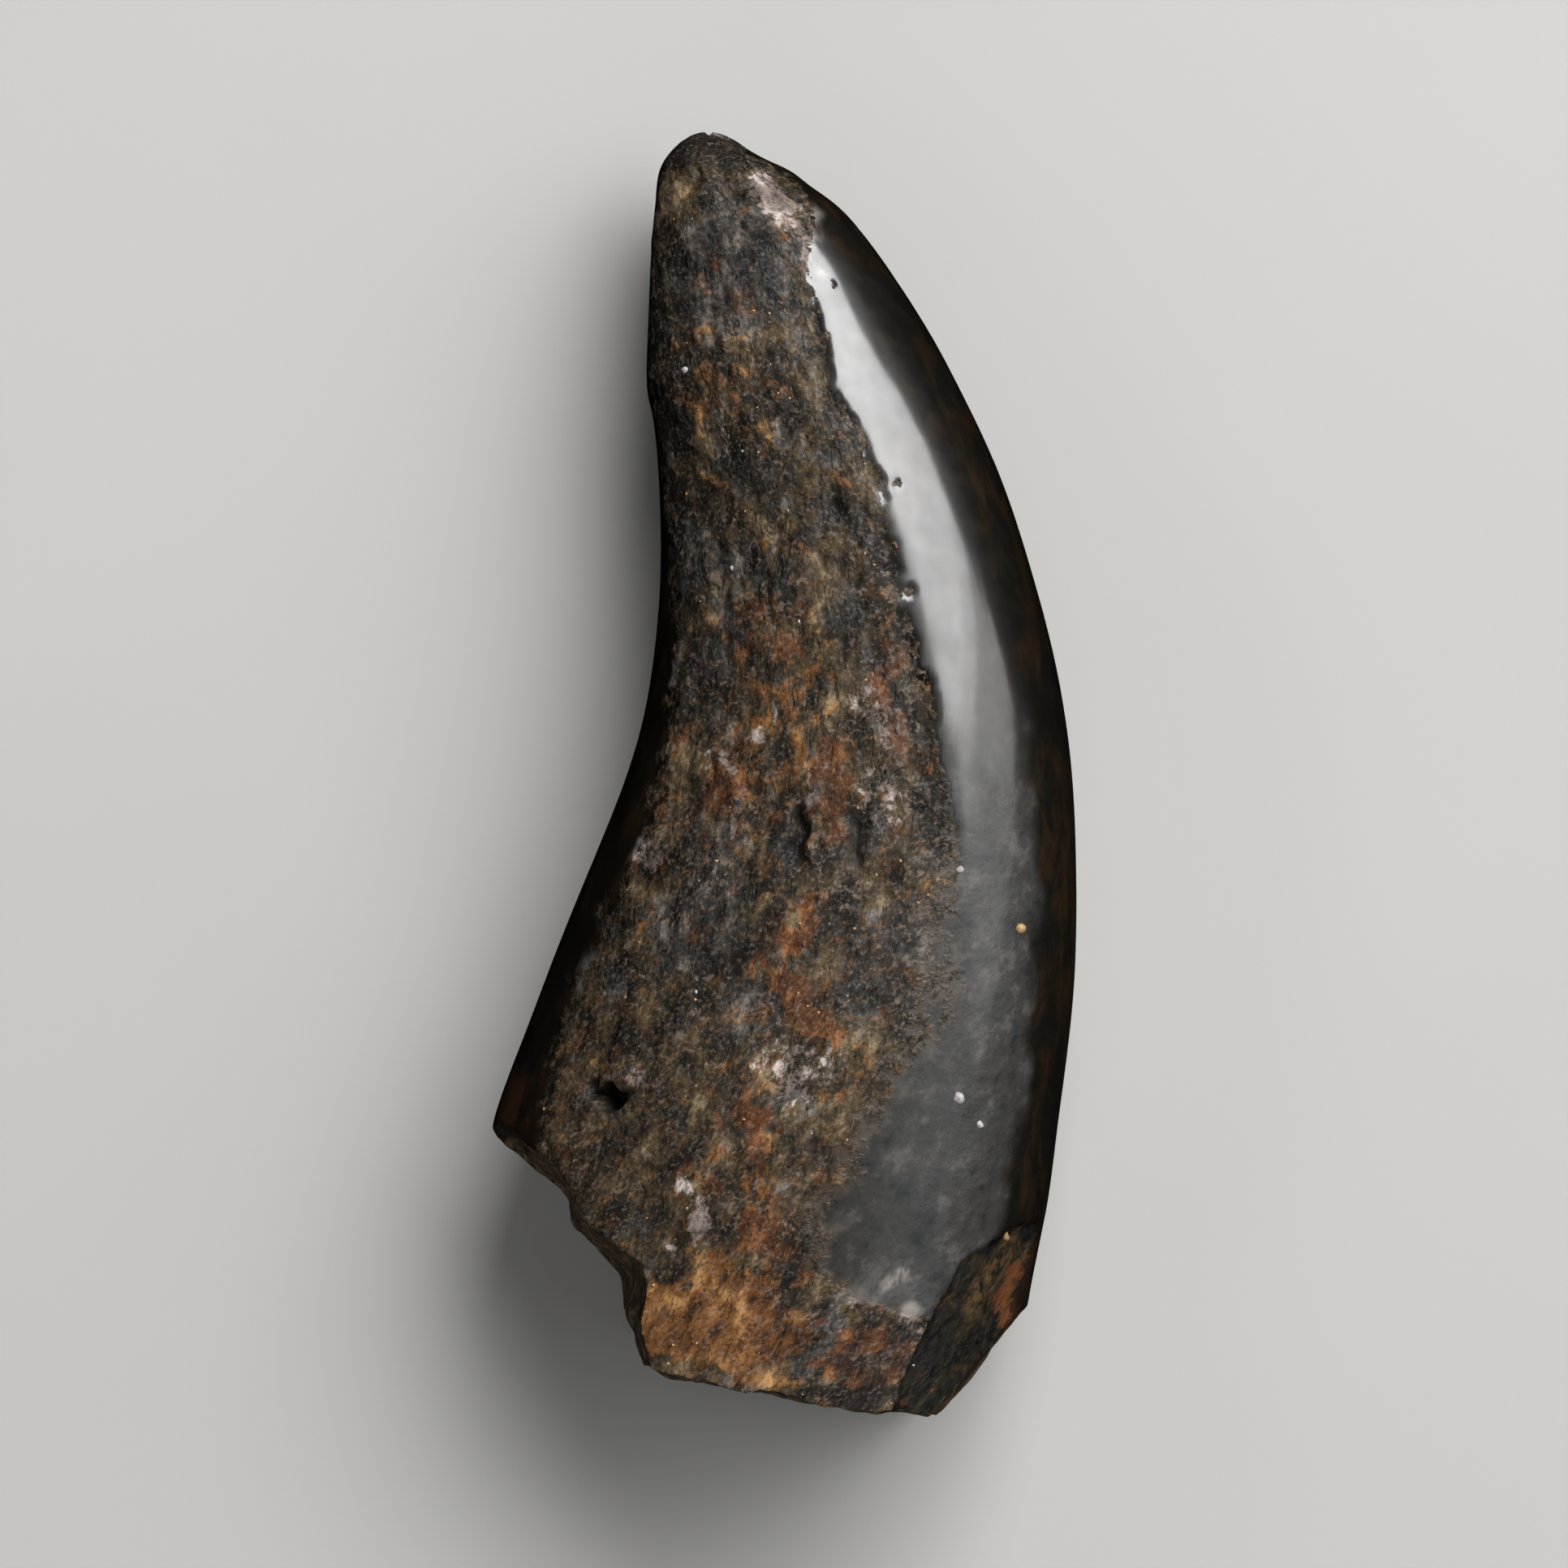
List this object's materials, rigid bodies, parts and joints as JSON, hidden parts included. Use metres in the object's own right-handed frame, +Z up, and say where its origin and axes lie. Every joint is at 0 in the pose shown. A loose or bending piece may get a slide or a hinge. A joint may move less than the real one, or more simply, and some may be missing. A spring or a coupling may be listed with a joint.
{
  "type": "fossil tyrannosaur tooth",
  "caption": "Fossil tyrannosaur tooth crown with a worn tip, a weathered face and a broken base, lying on its side.",
  "frame": {"origin": "on the resting plane, below the middle of the tooth's bounding box", "axes": "+Z up; +Y along the tooth from the broken base to the tip; +X towards the convex front edge"},
  "size_m": [0.0412, 0.0901, 0.0252],
  "materials": {
    "fossil": "dark glossy enamel, worn matt and rusty brown over the weathered face"
  },
  "bodies": {
    "root": {"tooth": "fossil"}
  },
  "joints": []
}
